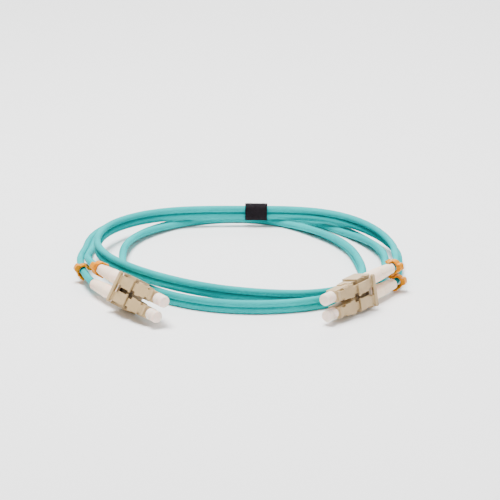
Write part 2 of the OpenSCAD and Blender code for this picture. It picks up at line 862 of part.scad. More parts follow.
coil();
tie_band();
left_a_leg();
left_b_leg();
right_a_leg();
right_b_leg();
left_a_marker();
left_b_marker();
right_a_marker();
right_b_marker();
left_clip();
right_clip();
left_trigger();
right_trigger();
left_a_housing();
left_b_housing();
right_a_housing();
right_b_housing();
left_a_latch();
left_b_latch();
right_a_latch();
right_b_latch();
left_a_rear_body();
left_b_rear_body();
right_a_rear_body();
right_b_rear_body();
left_a_ferrule();
left_b_ferrule();
right_a_ferrule();
right_b_ferrule();
left_a_flange();
left_b_flange();
right_a_flange();
right_b_flange();
left_a_spring();
left_b_spring();
right_a_spring();
right_b_spring();
left_a_fibre();
left_b_fibre();
right_a_fibre();
right_b_fibre();
left_a_crimp_sleeve();
left_b_crimp_sleeve();
right_a_crimp_sleeve();
right_b_crimp_sleeve();
left_a_boot();
left_b_boot();
right_a_boot();
right_b_boot();
left_a_dust_cap();
left_b_dust_cap();
right_a_dust_cap();
right_b_dust_cap();
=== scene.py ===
"""Looks of a coiled duplex fibre patch cord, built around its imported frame."""

import json
import math
from contextlib import contextmanager

import bmesh
import bpy
from mathutils import Matrix, Vector


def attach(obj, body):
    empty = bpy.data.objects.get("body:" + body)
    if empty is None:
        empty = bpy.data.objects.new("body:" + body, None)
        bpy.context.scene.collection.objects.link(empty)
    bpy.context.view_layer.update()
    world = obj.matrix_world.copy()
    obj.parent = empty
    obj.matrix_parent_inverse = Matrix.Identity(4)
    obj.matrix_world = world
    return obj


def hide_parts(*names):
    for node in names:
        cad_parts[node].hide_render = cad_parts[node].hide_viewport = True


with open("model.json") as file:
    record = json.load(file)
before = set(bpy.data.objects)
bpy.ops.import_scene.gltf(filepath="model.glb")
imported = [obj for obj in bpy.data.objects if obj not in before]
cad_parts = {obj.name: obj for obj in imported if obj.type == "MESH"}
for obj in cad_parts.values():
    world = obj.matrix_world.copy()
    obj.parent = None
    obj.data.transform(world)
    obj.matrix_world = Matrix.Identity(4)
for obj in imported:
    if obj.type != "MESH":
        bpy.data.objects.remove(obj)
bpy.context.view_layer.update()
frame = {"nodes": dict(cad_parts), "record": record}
MM = 0.001

# ---------------------------------------------------------------- sizes, in millimetres and degrees

jacket_dia = 2.8
strand_pitch = 2.9
strand_sides = 24
web_half_width = 0.55
web_half_height = 0.35
plug_pitch = 6.25
ring_centre = Vector((0, 10, 0))

# The coil's radius, height and roll at every station_turn degrees along it.
station_turn = 45
coil_start = 16
coil_end = 891
coil_steps = 210
station_radius = [58.5, 72.5, 71, 60, 57.5, 61.5, 58.5, 52, 46.5, 55, 61,
                  49, 46.5, 57, 51, 53, 56.5, 59.5, 53.6, 60, 62.5]
station_height = [1.4, 1.4, 1.4, 1.5, 2.6, 2.5, 2.5, 2.5, 2.5, 2.1, 1.4,
                  2.1, 2.5, 2.8, 5.3, 8.8, 8.6, 6.8, 6.0, 6.4, 4.4]
station_roll = [15, 8, 0, 0, 90, 90, 90, 90, 90, 20, -10,
                40, 90, 90, 90, 90, 90, 90, 90, 90, 55]

# Free legs in the ring's frame, from the split to behind the boot.
left_a_way = [(-59.8, 4, 3.9), (-59.9, -7, 6.3), (-59.2, -17.5, 8.6), (-57.4, -25.5, 9.6)]
left_b_way = [(-63.6, 4, 1.9), (-62.7, -7, 3.4), (-61.4, -17.6, 4.4), (-60.2, -22.4, 4.5),
              (-58.7, -29, 4.5)]
right_a_way = [(61.1, -1, 6.6), (60.9, -12, 8.6), (60.9, -22, 9.7)]
right_b_way = [(62.9, -3, 3.4), (62.2, -14, 3.7), (61.7, -24, 3.8), (61, -29.2, 3.8)]
tail_lead = 1.8
leg_lead = 7
leg_steps = 6
neck_steps = 14
route_step = 1.5
relax_rounds = 14
pinned_points = 16

clip_half = 6.3
clip_bottom = 3.3
neck_rear = -20.0
sleeve_r = 1.85
sleeve_rear = -22.6
sleeve_gap = 0.01
lathe_sides = 72

boot_spigot_front = -17.8
boot_spigot_r = 2.25
boot_bore_r = 1.6
boot_front = -22.5
boot_tail = -42.0
boot_middle = (boot_front + boot_tail) / 2
boot_front_r = 2.8
boot_tail_r = 2.1
boot_waist_drop = 0.15
boot_waist_r = boot_front_r - boot_waist_drop
boot_edge = 0.3
boot_tail_edge = 0.4

# The ribs fill the rear half of a boot; their height is set in rib depths, their start in pitches.
boot_ribs = 8
rib_depth = 0.18
rib_width = 0.68
rib_height_share = 2.6
rib_start_share = 0.32
rib_tail_gap = 0.8

marker_r = 3.1
marker_drop = 0.25
marker_bore_r = 1.65
marker_mouth_r = 2.25
marker_half = 1.4
marker_taper = 0.3
marker_opening = 40
marker_steps = 56
marker_lip = 0.75
lip_reach = 19
lip_ease = 4
marker_crest = 1.1
crest_reach = 30
crest_ease = 12
tab_inner = 2.3
tab_outer = 2.78
tab_half = 0.9
tab_root = 0.5
tab_reach = 2.2
left_a_marker_gap = 1
right_a_marker_gap = 1.8

cap_r = 2.25
cap_length = 5.3
cap_bore_r = 0.66
cap_bore_end = 2.6
cap_rear = -3.5
cap_sleeve_r = 1.3
cap_chamfer = 0.08
cap_edge = 0.2
cap_rim = 0.65
cap_dome = 0.12
cap_sag = 0.1
cap_grooves = (0.9, 1.6, 2.3)
groove_width = 0.25
groove_slope = 0.06
groove_depth = 0.1

# The well between a trigger's fingers, in the pair's frame.
well_centre = (-16.6, 0, 2.7)
well_size = (7.2, 3.0, 1.6)

edge_segments = 3
edge_angle = 35
flat_angle = 0.5
clip_edge = 0.16
housing_edge = 0.14
latch_edge = 0.12
tie_edge = 0.1
marker_edge = 0.12

# Loops of the tie; their density is per square metre.
loop_spacing = 0.34
loop_density = 9.0e6
loop_r = 0.17
loop_thread_r = 0.035
loop_seed = 7

# Merging distances, camera and floor, in metres.
cad_weld = 2e-6
own_weld = 1e-7
camera_side = 0.0040
camera_lift = 0.00635
camera_away = 1.1
camera_clip = 0.01
floor_half = 4.0

# Rise in degrees, lens and sensor in millimetres.
camera_rise = 17.6
camera_lens = 199.6
camera_sensor = 36
world_light = 0.56


# ---------------------------------------------------------------- frames and curves

def pair_frame(nose, yaw, roll):
    """Frame of a pair of plugs: X towards the nose, Z towards the latch."""
    lean = math.radians(roll)
    height = clip_half * abs(math.sin(lean)) + clip_bottom * math.cos(lean)
    place = Matrix.Translation(ring_centre + Vector((nose[0], nose[1], height)))
    return place @ Matrix.Rotation(math.radians(yaw), 4, "Z") @ Matrix.Rotation(lean, 4, "X")


left_pair = pair_frame((-31.7, -70.4), -57, 59)
right_pair = pair_frame((34.8, -68), -124.5, -80)


def plug_frame(pair, lane):
    return pair @ Matrix.Translation((0, lane * plug_pitch / 2, 0))


plugs = {
    "left_a": plug_frame(left_pair, 1),
    "left_b": plug_frame(left_pair, -1),
    "right_a": plug_frame(right_pair, -1),
    "right_b": plug_frame(right_pair, 1),
}


def blended(values, s):
    """Smooth curve through a list of numbers or vectors, read at place s."""
    i = min(max(math.floor(s), 0), len(values) - 2)
    q = s - i
    a, b = values[i], values[i + 1]
    into = (b - values[max(i - 1, 0)]) / 2
    out = (values[min(i + 2, len(values) - 1)] - a) / 2
    return (a * (2 * q ** 3 - 3 * q ** 2 + 1) + into * (q ** 3 - 2 * q ** 2 + q)
            + b * (3 * q ** 2 - 2 * q ** 3) + out * (q ** 3 - q ** 2))


def outward(turn):
    angle = math.radians(180 - turn)
    return Vector((math.cos(angle), math.sin(angle), 0))


def cord_middle(turn):
    s = turn / station_turn
    height = Vector((0, 0, blended(station_height, s)))
    return ring_centre + blended(station_radius, s) * outward(turn) + height


def cord_across(turn):
    roll = math.radians(blended(station_roll, turn / station_turn))
    return -math.cos(roll) * outward(turn) + Vector((0, 0, math.sin(roll)))


def cord_along(turn):
    ahead = cord_middle(turn + 1) - cord_middle(turn - 1)
    across = cord_across(turn)
    return (ahead - ahead.dot(across) * across).normalized()


def strand_point(turn, side, slide=0.0):
    return cord_middle(turn) + slide * cord_along(turn) + side * strand_pitch / 2 * cord_across(turn)


coil_turns = [coil_start + (coil_end - coil_start) * i / coil_steps for i in range(coil_steps + 1)]


def axis_point(name, x):
    return plugs[name] @ Vector((x, 0, 0))


def leg_points(start, heading, way, name, lead):
    """Points of a leg from its split to the rear body inside the boot."""
    entry = axis_point(name, boot_tail + lead)
    neck = axis_point(name, neck_rear)
    lead_end = start + jacket_dia * heading
    stations = [lead_end - leg_lead * heading, lead_end]
    stations += [ring_centre + Vector(p) for p in way]
    stations += [entry, entry + leg_lead * (neck - entry).normalized()]
    curve = [blended(stations, i + k / leg_steps)
             for i in range(1, len(stations) - 2) for k in range(leg_steps)]
    inside = [entry.lerp(neck, k / neck_steps) for k in range(neck_steps + 1)]
    return [start, start.lerp(lead_end, 0.5)] + curve + inside


def evened(points, step):
    """The same route with its points an even step apart."""
    out, carry = [points[0]], 0.0
    for a, b in zip(points, points[1:]):
        reach = (b - a).length
        while carry + reach >= step:
            a = a.lerp(b, (step - carry) / reach)
            out.append(a)
            reach, carry = (b - a).length, 0.0
        carry += reach
    return out + [points[-1]]


def relaxed(points, rounds, pinned):
    """Evens out small kinks, but holds the pinned length at both ends."""
    for _ in range(rounds):
        points = [p if i < pinned or i >= len(points) - pinned
                  else (points[i - 1] + 2 * p + points[i + 1]) / 4 for i, p in enumerate(points)]
    return points


def off_floor(points):
    """Lifts whatever dips below the floor so that the jacket rests on it."""
    return [Vector((p.x, p.y, max(p.z, jacket_dia / 2))) for p in points]


def strand_route(side, letter, left_way, right_way, lead):
    first = strand_point(coil_start, side, -jacket_dia)
    last = strand_point(coil_end, side, jacket_dia)
    left_leg = leg_points(first, -cord_along(coil_start), left_way, "left_" + letter, lead)
    right_leg = leg_points(last, cord_along(coil_end), right_way, "right_" + letter, lead)
    coil = [strand_point(turn, side) for turn in coil_turns]
    whole = left_leg[::-1] + coil + right_leg
    return off_floor(relaxed(evened(whole, route_step), relax_rounds, pinned_points))


def route_length(points):
    return sum((b - a).length for a, b in zip(points, points[1:]))


# ---------------------------------------------------------------- finishes

class Signal:
    """A number that varies over a surface; arithmetic on it adds Math nodes."""

    def __init__(self, finish, socket):
        self.finish = finish
        self.socket = socket

    def _math(self, operation, first, second):
        return self.finish.add("ShaderNodeMath", {"operation": operation}, {0: first, 1: second})

    def __add__(self, other):
        return self._math("ADD", self, other)

    def __radd__(self, other):
        return self._math("ADD", other, self)

    def __sub__(self, other):
        return self._math("SUBTRACT", self, other)

    def __mul__(self, other):
        return self._math("MULTIPLY", self, other)

    def over(self, low, high):
        """0 below low, 1 above high, smooth between."""
        return self.finish.add("ShaderNodeMapRange", {"interpolation_type": "SMOOTHSTEP"},
                               {"Value": self, "From Min": low, "From Max": high})


class Finish:
    """One procedural material, with one method for any node."""

    def __init__(self, name, **constants):
        self.material = bpy.data.materials.new(name)
        self.material.use_nodes = True
        self.tree = self.material.node_tree
        self.shader = self.tree.nodes["Principled BSDF"]
        for socket, value in constants.items():
            self.shader.inputs[socket.replace("_", " ")].default_value = value

    def add(self, kind, settings=None, values=None, out=0):
        node = self.tree.nodes.new(kind)
        for key, value in (settings or {}).items():
            setattr(node, key, value)
        for key, value in (values or {}).items():
            self.put(node.inputs[key], value)
        return Signal(self, node.outputs[out])

    def put(self, target, value):
        if isinstance(value, Signal):
            self.tree.links.new(value.socket, target)
        else:
            target.default_value = value

    def place(self):
        return self.add("ShaderNodeTexCoord", out="Object")

    def along(self):
        """Distance along a cord or strip and the way round it, from its own UV map."""
        return self.add("ShaderNodeTexCoord", out="UV")

    def split(self, vector, axis):
        return self.add("ShaderNodeSeparateXYZ", values={0: vector}, out=axis)

    def noise(self, scale, detail=3.0, roughness=0.5, at=None):
        return self.add("ShaderNodeTexNoise", {}, {"Vector": at or self.place(), "Scale": scale,
                                                   "Detail": detail, "Roughness": roughness})

    def cells(self, scale, at=None):
        return self.add("ShaderNodeTexVoronoi", {"feature": "F1"},
                        {"Vector": at or self.place(), "Scale": scale})

    def colours(self, share, stops):
        ramp = self.tree.nodes.new("ShaderNodeValToRGB")
        band = ramp.color_ramp
        while len(band.elements) < len(stops):
            band.elements.new(0.5)
        for element, (place, colour) in zip(band.elements, stops):
            element.position = place
            element.color = (*colour, 1)
        self.put(ramp.inputs[0], share)
        return Signal(self, ramp.outputs[0])

    def mixed(self, share, first, second):
        values = {0: share, 6: first if isinstance(first, Signal) else (*first, 1),
                  7: second if isinstance(second, Signal) else (*second, 1)}
        return self.add("ShaderNodeMix", {"data_type": "RGBA"}, values, out=2)

    def bump(self, height, strength, distance):
        return self.add("ShaderNodeBump",
                        values={"Height": height, "Strength": strength, "Distance": distance})

    def wear(self):
        """High on outer edges and low in hollows."""
        return self.add("ShaderNodeNewGeometry", out="Pointiness")

    def wears(self, colour=None, roughness=None, normal=None):
        for socket, value in (("Base Color", colour), ("Roughness", roughness), ("Normal", normal)):
            if value is not None:
                self.put(self.shader.inputs[socket], value)
        return self.material


def srgb(text):
    """Linear colour of a hex code."""
    parts = [int(text[i:i + 2], 16) / 255 for i in (0, 2, 4)]
    return tuple(p / 12.92 if p <= 0.04045 else ((p + 0.055) / 1.055) ** 2.4 for p in parts)


def jacket_finish():
    """Soft aqua vinyl: faint extrusion streaks along the strand and a fine matt grain."""
    f = Finish("aqua_jacket", Specular_IOR_Level=0.06, IOR=1.45)
    cloud = f.noise(55, 2.0)
    grain = f.noise(2600, 2.0, 0.6)
    drawn = f.add("ShaderNodeCombineXYZ", values={
        0: f.split(f.along(), 0) * 0.02, 1: f.split(f.along(), 1) * 4.0, 2: 0.3})
    streak = f.noise(9, 2.0, 0.5, at=drawn)
    tone = (cloud * 0.5 + streak * 0.35 + grain * 0.15).over(0.30, 0.70)
    colour = f.mixed(tone, (0.0, 0.295, 0.298), (0.0, 0.385, 0.382))
    rough = 0.55 + grain * 0.10 + streak * 0.06
    return f.wears(colour, rough, f.bump(grain * 0.5 + streak * 0.5, 0.25, 0.00006))


def web_shade_finish():
    """The jacket's colour darkened to about half: painted shade for the groove between the strands."""
    f = Finish("aqua_web_shaded", Specular_IOR_Level=0.06)
    tone = f.noise(180, 2.0).over(0.3, 0.7)
    # Both tones are painted shade, darker than the jacket's own colour.
    return f.wears(f.mixed(tone, (0.0, 0.15, 0.152), (0.0, 0.20, 0.20)), 0.5 + tone * 0.08)


def boot_finish():
    """Warm white soft rubber with a dusting of wear."""
    f = Finish("white_boot", Specular_IOR_Level=0.35, Subsurface_Weight=0.15, Subsurface_Scale=0.001)
    cloud = f.noise(160, 3.0)
    grain = f.noise(3200, 2.0, 0.6)
    tone = (cloud * 0.7 + grain * 0.3).over(0.3, 0.7)
    colour = f.mixed(tone, (0.92, 0.68, 0.52), (0.96, 0.75, 0.59))
    return f.wears(colour, 0.46 + grain * 0.12 + cloud * 0.05, f.bump(grain, 0.2, 0.00005))


def cap_finish():
    """Translucent white dust cap."""
    f = Finish("white_cap", Specular_IOR_Level=0.45, Subsurface_Weight=0.3, Subsurface_Scale=0.002)
    cloud = f.noise(240, 2.0)
    grain = f.noise(4200, 2.0)
    colour = f.mixed(cloud.over(0.3, 0.7), (0.85, 0.68, 0.57), (0.92, 0.76, 0.65))
    rough = 0.34 + cloud * 0.08 + grain * 0.05
    return f.wears(colour, rough, f.bump(cloud * 0.4 + grain * 0.6, 0.12, 0.00005))


def beige_finish(name, low, high, shine):
    """Moulded beige plastic: flow clouds, fine spark grain and paler worn edges."""
    f = Finish(name, Specular_IOR_Level=0.45)
    flow = f.noise(140, 3.0, 0.55)
    grain = f.noise(5200, 1.0)
    edge = f.wear().over(0.50, 0.60)
    base = f.mixed((flow * 0.75 + grain * 0.25).over(0.32, 0.68), low, high)
    colour = f.mixed(edge * 0.35, base, (0.58, 0.43, 0.25))
    rough = shine + grain * 0.12 + flow * 0.06 - edge * 0.05
    return f.wears(colour, rough, f.bump(grain, 0.2, 0.00004))


def orange_finish():
    """Moulded orange plastic, a little paler on its worn edges."""
    f = Finish("orange_marker", Specular_IOR_Level=0.08)
    flow = f.noise(210, 2.0)
    grain = f.noise(4800, 1.0)
    edge = f.wear().over(0.50, 0.62)
    base = f.mixed(flow.over(0.3, 0.7), (0.56, 0.190, 0.0), (0.66, 0.230, 0.0))
    colour = f.mixed(edge * 0.3, base, (0.58, 0.25, 0.0))
    return f.wears(colour, 0.34 + grain * 0.12, f.bump(grain, 0.15, 0.00004))


def ceramic_finish():
    f = Finish("zirconia", Specular_IOR_Level=0.6, Coat_Weight=0.3, Coat_Roughness=0.05)
    cloud = f.noise(400, 2.0)
    return f.wears(f.mixed(cloud.over(0.3, 0.7), srgb("F4F2EC"), srgb("FCFBF8")), 0.12 + cloud * 0.06)


def metal_finish():
    """Turned metal with fine lathe lines round its axis."""
    f = Finish("turned_metal", Metallic=1.0)
    brushed = f.noise(900, 4.0, 0.6)
    fine = f.noise(6000, 1.0)
    colour = f.mixed(brushed.over(0.3, 0.7), srgb("8E9498"), srgb("B4B9BB"))
    return f.wears(colour, 0.26 + brushed * 0.18, f.bump(brushed * 0.5 + fine * 0.5, 0.15, 0.00004))


def tie_finish():
    """Black hook-and-loop strip: a mat of short loops."""
    f = Finish("loop_strip", Specular_IOR_Level=0.12)
    loops = f.cells(2600)
    fluff = f.noise(1500, 4.0, 0.65)
    mat = loops * 0.6 + fluff * 0.4
    stops = [(0.15, (0.003, 0.002, 0.0028)), (0.55, (0.010, 0.007, 0.0095)), (0.9, (0.022, 0.016, 0.021))]
    return f.wears(f.colours(mat, stops), 0.72 + fluff * 0.2, f.bump(mat, 0.8, 0.00018))


def buffer_finish():
    f = Finish("fibre_buffer", Specular_IOR_Level=0.4)
    tone = f.noise(700, 2.0)
    return f.wears(f.mixed(tone.over(0.3, 0.7), srgb("E8E4DA"), srgb("F2EFE7")), 0.4 + tone * 0.1)


def floor_finish():
    f = Finish("pale_floor", Specular_IOR_Level=0.2)
    tone = f.noise(3, 2.0)
    colour = f.mixed(tone.over(0.2, 0.8), (0.86, 0.86, 0.86), (0.88, 0.88, 0.88))
    return f.wears(colour, 0.7 + tone * 0.1)


jacket = jacket_finish()
web_shaded_look = web_shade_finish()
boot_white = boot_finish()
cap_white = cap_finish()
beige = beige_finish("beige_moulding", (0.36, 0.245, 0.115), (0.45, 0.31, 0.15), 0.36)
beige_clip = beige_finish("beige_clip", (0.34, 0.23, 0.105), (0.43, 0.295, 0.14), 0.38)
# Near-black beige: painted shade for the well between a trigger's fingers.
recess_shade = beige_finish("beige_recess_painted_shade", (0.030, 0.020, 0.011), (0.042, 0.028, 0.016), 0.6)
# Dark beige for the rear bodies deep under the clips and boots: painted shade.
beige_inner_shaded = beige_finish("beige_inner_shaded", (0.12, 0.08, 0.04), (0.16, 0.105, 0.055), 0.45)
orange = orange_finish()
zirconia = ceramic_finish()
turned_metal = metal_finish()
loop_strip = tie_finish()
buffer_coat = buffer_finish()


# ---------------------------------------------------------------- mesh helpers

def placed(name, data):
    """A new object in the scene."""
    made = bpy.data.objects.new(name, data)
    bpy.context.scene.collection.objects.link(made)
    return made


@contextmanager
def opened(mesh):
    """A mesh open for editing, written back at the end."""
    bm = bmesh.new()
    bm.from_mesh(mesh)
    yield bm
    bm.to_mesh(mesh)
    bm.free()


def piece(name, verts, faces, material, body, slot, uvs=None):
    """A mesh piece from points in millimetres."""
    mesh = bpy.data.meshes.new(name)
    mesh.from_pydata([tuple(v * MM for v in p) for p in verts], [], faces)
    mesh.validate()
    if uvs is not None:
        layer = mesh.uv_layers.new(name="UVMap")
        for loop in mesh.loops:
            layer.data[loop.index].uv = uvs[loop.vertex_index]
    for polygon in mesh.polygons:
        polygon.use_smooth = True
    mesh.materials.append(material)
    made = placed(name, mesh)
    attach(made, body)
    return made


def sweep_frames(points):
    """Turn-free frames along a route: point, side, up."""
    frames = []
    side = None
    for i, point in enumerate(points):
        along = (points[min(i + 1, len(points) - 1)] - points[max(i - 1, 0)]).normalized()
        if side is None:
            side = Vector((0, 0, 1)).cross(along).normalized()
        side = (side - side.dot(along) * along).normalized()
        frames.append((point, side, along.cross(side)))
    return frames


def swept(frames, outline):
    """Points, faces and UVs of a closed outline carried along frames."""
    sides = len(outline)
    verts, uvs, faces = [], [], []
    run = 0.0
    for i, (point, side, up) in enumerate(frames):
        if i:
            run += (point - frames[i - 1][0]).length
        for k, (x, y) in enumerate(outline):
            verts.append(point + x * side + y * up)
            uvs.append((run, abs(2 * k / sides - 1)))
    for i in range(len(frames) - 1):
        for k in range(sides):
            a, b = i * sides + k, i * sides + (k + 1) % sides
            faces.append((a, b, b + sides, a + sides))
    faces.append(tuple(reversed(range(sides))))
    faces.append(tuple(range((len(frames) - 1) * sides, len(frames) * sides)))
    return verts, faces, uvs


def circle(radius, sides):
    return [(radius * math.cos(2 * math.pi * k / sides), radius * math.sin(2 * math.pi * k / sides))
            for k in range(sides)]


# ---------------------------------------------------------------- repeated forms

class NodeTree:
    """A Geometry Nodes tree whose sizes are named inputs."""

    def __init__(self, name, sizes):
        self.tree = bpy.data.node_groups.new(name, "GeometryNodeTree")
        face = self.tree.interface
        face.new_socket("Geometry", in_out="INPUT", socket_type="NodeSocketGeometry")
        self.keys = {}
        for label, value in sizes.items():
            kind = "NodeSocketInt" if isinstance(value, int) else "NodeSocketFloat"
            self.keys[label] = face.new_socket(label, in_out="INPUT", socket_type=kind).identifier
        face.new_socket("Geometry", in_out="OUTPUT", socket_type="NodeSocketGeometry")
        self.sizes = sizes
        self.start = self.tree.nodes.new("NodeGroupInput")
        self.end = self.tree.nodes.new("NodeGroupOutput")

    def size(self, label):
        return self.start.outputs[label]

    def add(self, kind, settings=None, values=None, out=0):
        node = self.tree.nodes.new(kind)
        for key, value in (settings or {}).items():
            setattr(node, key, value)
        for key, value in (values or {}).items():
            if isinstance(value, bpy.types.NodeSocket):
                self.tree.links.new(value, node.inputs[key])
            else:
                node.inputs[key].default_value = value
        return node.outputs[out]

    def maths(self, operation, a, b):
        return self.add("ShaderNodeMath", {"operation": operation}, {0: a, 1: b})

    def finished(self, instances, look):
        real = self.add("GeometryNodeRealizeInstances", values={0: instances})
        smooth = self.add("GeometryNodeSetShadeSmooth", values={0: real})
        dressed = self.add("GeometryNodeSetMaterial", values={0: smooth, "Material": look})
        self.tree.links.new(dressed, self.end.inputs[0])

    def baked(self, base):
        """The tree's result on a base mesh, as a plain mesh."""
        holder = placed("holder", base)
        modifier = holder.modifiers.new("repeat", "NODES")
        modifier.node_group = self.tree
        for label, value in self.sizes.items():
            modifier[self.keys[label]] = value
        depsgraph = bpy.context.evaluated_depsgraph_get()
        mesh = bpy.data.meshes.new_from_object(holder.evaluated_get(depsgraph))
        bpy.data.objects.remove(holder)
        return mesh


def rib_mesh(look):
    """The row of rounded ribs of one boot, about the X axis, in metres."""
    pitch = (boot_middle - boot_tail - rib_tail_gap) / boot_ribs
    tree = NodeTree("boot_ribs", {
        "Ribs": boot_ribs, "Pitch": pitch * MM, "First": (boot_middle - pitch * rib_start_share) * MM,
        "Front radius": boot_waist_r * MM, "Tail ratio": boot_tail_r / boot_waist_r,
        "Width": rib_width * MM, "Height": rib_height_share * rib_depth * MM})
    start = tree.add("ShaderNodeCombineXYZ", values={0: tree.size("First")})
    stride = tree.add("ShaderNodeCombineXYZ", values={0: tree.maths("MULTIPLY", tree.size("Pitch"), -1.0)})
    line = tree.add("GeometryNodeMeshLine", {"mode": "OFFSET"},
                    {"Count": tree.size("Ribs"), "Start Location": start, "Offset": stride})
    share = tree.maths("DIVIDE", tree.add("GeometryNodeInputIndex"), tree.size("Ribs"))
    fall = tree.maths("MULTIPLY", share, tree.maths("SUBTRACT", 1.0, tree.size("Tail ratio")))
    ratio = tree.maths("SUBTRACT", 1.0, fall)
    scale = tree.add("ShaderNodeCombineXYZ", values={0: 1.0, 1: ratio, 2: ratio})
    half_height = tree.maths("MULTIPLY", tree.size("Height"), 0.5)
    centre_line = tree.maths("SUBTRACT", tree.size("Front radius"), half_height)
    loop = tree.add("GeometryNodeCurvePrimitiveCircle", values={"Resolution": 64, "Radius": centre_line})
    section = tree.add("GeometryNodeCurvePrimitiveCircle", values={"Resolution": 14, "Radius": 0.5})
    flat = tree.add("ShaderNodeCombineXYZ", values={0: tree.size("Height"), 1: tree.size("Width"), 2: 1.0})
    oval = tree.add("GeometryNodeTransform", values={"Geometry": section, "Scale": flat})
    ring = tree.add("GeometryNodeCurveToMesh", values={"Curve": loop, "Profile Curve": oval})
    upright = tree.add("GeometryNodeTransform", values={"Geometry": ring, "Rotation": (0, math.pi / 2, 0)})
    row = tree.add("GeometryNodeInstanceOnPoints", values={
        "Points": line, "Instance": upright, "Scale": scale})
    tree.finished(row, look)
    return tree.baked(bpy.data.meshes.new("ribs_base"))


def outer_skin(mesh):
    """Merges a loose mesh and keeps the faces that look away from its middle."""
    with opened(mesh) as bm:
        bmesh.ops.remove_doubles(bm, verts=bm.verts, dist=cad_weld)
        bmesh.ops.recalc_face_normals(bm, faces=bm.faces)
        middle = sum((vert.co for vert in bm.verts), Vector()) / len(bm.verts)
        inward = [face for face in bm.faces if face.normal.dot(face.calc_center_median() - middle) <= 0]
        bmesh.ops.delete(bm, geom=inward, context="FACES")
    return mesh


def loop_mesh(strip, look):
    """Short loops standing on a strip, scattered evenly with a fixed seed."""
    tree = NodeTree("tie_loops", {
        "Spacing": loop_spacing * MM, "Density": loop_density, "Loop": loop_r * MM,
        "Thread": loop_thread_r * MM, "Seed": loop_seed})
    points = tree.add("GeometryNodeDistributePointsOnFaces", {"distribute_method": "POISSON"}, {
        "Mesh": tree.size("Geometry"), "Distance Min": tree.size("Spacing"),
        "Density Max": tree.size("Density"), "Seed": tree.size("Seed")})
    arch = tree.add("GeometryNodeCurveArc", values={
        "Resolution": 6, "Radius": tree.size("Loop"), "Start Angle": 0.0, "Sweep Angle": math.pi})
    thread = tree.add("GeometryNodeCurvePrimitiveCircle", values={
        "Resolution": 4, "Radius": tree.size("Thread")})
    strand = tree.add("GeometryNodeCurveToMesh", values={
        "Curve": arch, "Profile Curve": thread, "Fill Caps": True})
    upright = tree.add("GeometryNodeTransform", values={
        "Geometry": strand, "Rotation": (math.pi / 2, 0, 0)})
    # Sockets 2 and 3 are the least and greatest number; the first two are vectors.
    spin = tree.add("FunctionNodeRandomValue", {"data_type": "FLOAT"},
                    {2: 0.0, 3: math.tau, "Seed": tree.size("Seed")}, out=1)
    turn = tree.add("FunctionNodeRotateEuler", {"rotation_type": "AXIS_ANGLE", "space": "LOCAL"},
                    {"Rotation": points.node.outputs["Rotation"], "Axis": (0, 0, 1), "Angle": spin})
    tree.finished(tree.add("GeometryNodeInstanceOnPoints", values={
        "Points": points, "Instance": upright, "Rotation": turn}), look)
    return tree.baked(strip)


# ---------------------------------------------------------------- camera and light

def aim_camera():
    """Long lens from the front, a little above the floor."""
    rise = math.radians(camera_rise)
    look = Vector((0, math.cos(rise), -math.sin(rise)))
    up = Vector((0, math.sin(rise), math.cos(rise)))
    aim = ring_centre * MM + Vector((1, 0, 0)) * camera_side + up * camera_lift
    data = bpy.data.cameras.new("camera")
    data.lens = camera_lens
    data.sensor_width = camera_sensor
    data.clip_start = camera_clip
    camera = placed("camera", data)
    camera.location = aim - look * camera_away
    camera.rotation_euler = (math.pi / 2 - rise, 0, 0)
    bpy.context.scene.camera = camera


def soft_light(name, place, size, power):
    """A square lamp that faces the origin."""
    data = bpy.data.lights.new(name, "AREA")
    data.size = size
    data.energy = power
    lamp = placed(name, data)
    lamp.location = place
    lamp.rotation_euler = (-Vector(place)).to_track_quat("-Z", "Y").to_euler()


def light_studio():
    world = bpy.data.worlds.new("studio")
    world.use_nodes = True
    world.node_tree.nodes["Background"].inputs[0].default_value = (1, 1, 1, 1)
    world.node_tree.nodes["Background"].inputs[1].default_value = world_light
    bpy.context.scene.world = world
    soft_light("key", (-0.12, 0.05, 0.9), 0.45, 27.0)
    soft_light("fill", (0.6, -0.7, 0.45), 0.6, 3.0)
    soft_light("back", (0.1, 0.9, 0.5), 0.5, 5.0)


def lay_floor():
    mesh = bpy.data.meshes.new("floor")
    corners = [(x * floor_half, y * floor_half, 0) for x, y in ((-1, -1), (1, -1), (1, 1), (-1, 1))]
    mesh.from_pydata(corners, [], [(0, 1, 2, 3)])
    mesh.materials.append(floor_finish())
    placed("floor", mesh)


aim_camera()
light_studio()
lay_floor()


# ---------------------------------------------------------------- the cord

def lay_strand(name, route):
    verts, faces, uvs = swept(sweep_frames(route), circle(jacket_dia / 2, strand_sides))
    return piece(name, verts, faces, jacket, "cord", "jacket", uvs)


def lay_web():
    """Thin web that joins the two strands from split to split."""
    frames = []
    for turn in coil_turns:
        across = cord_across(turn)
        frames.append((cord_middle(turn), across, across.cross(cord_along(turn))))
    outline = [(x * web_half_width, y * web_half_height) for x, y in ((-1, -1), (1, -1), (1, 1), (-1, 1))]
    verts, faces, uvs = swept(frames, outline)
    made = piece("web", verts, faces, web_shaded_look, "cord", "jacket", uvs)
    with opened(made.data) as bm:
        bmesh.ops.recalc_face_normals(bm, faces=bm.faces)
    return made


def metres(points):
    return [tuple(p * MM) for p in points]


route_a = strand_route(1, "a", left_a_way, right_a_way, -tail_lead)
route_b = strand_route(-1, "b", left_b_way, right_b_way, tail_lead)
web = lay_web()
for letter, route, others in (("a", route_a, [web]), ("b", route_b, [])):
    strand = lay_strand("strand_" + letter, route)
    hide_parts("coil", f"left_{letter}_leg", f"right_{letter}_leg")
    tuple(axis_point("left_" + letter, boot_tail) * MM)
    route_length(route) * MM
    metres(route)


# ---------------------------------------------------------------- turned pieces

def owner(node):
    """The body that carries a CAD node."""
    bodies = frame["record"]["behaviour"]["bodies"]
    return next(name for name, members in bodies.items() if node in members)


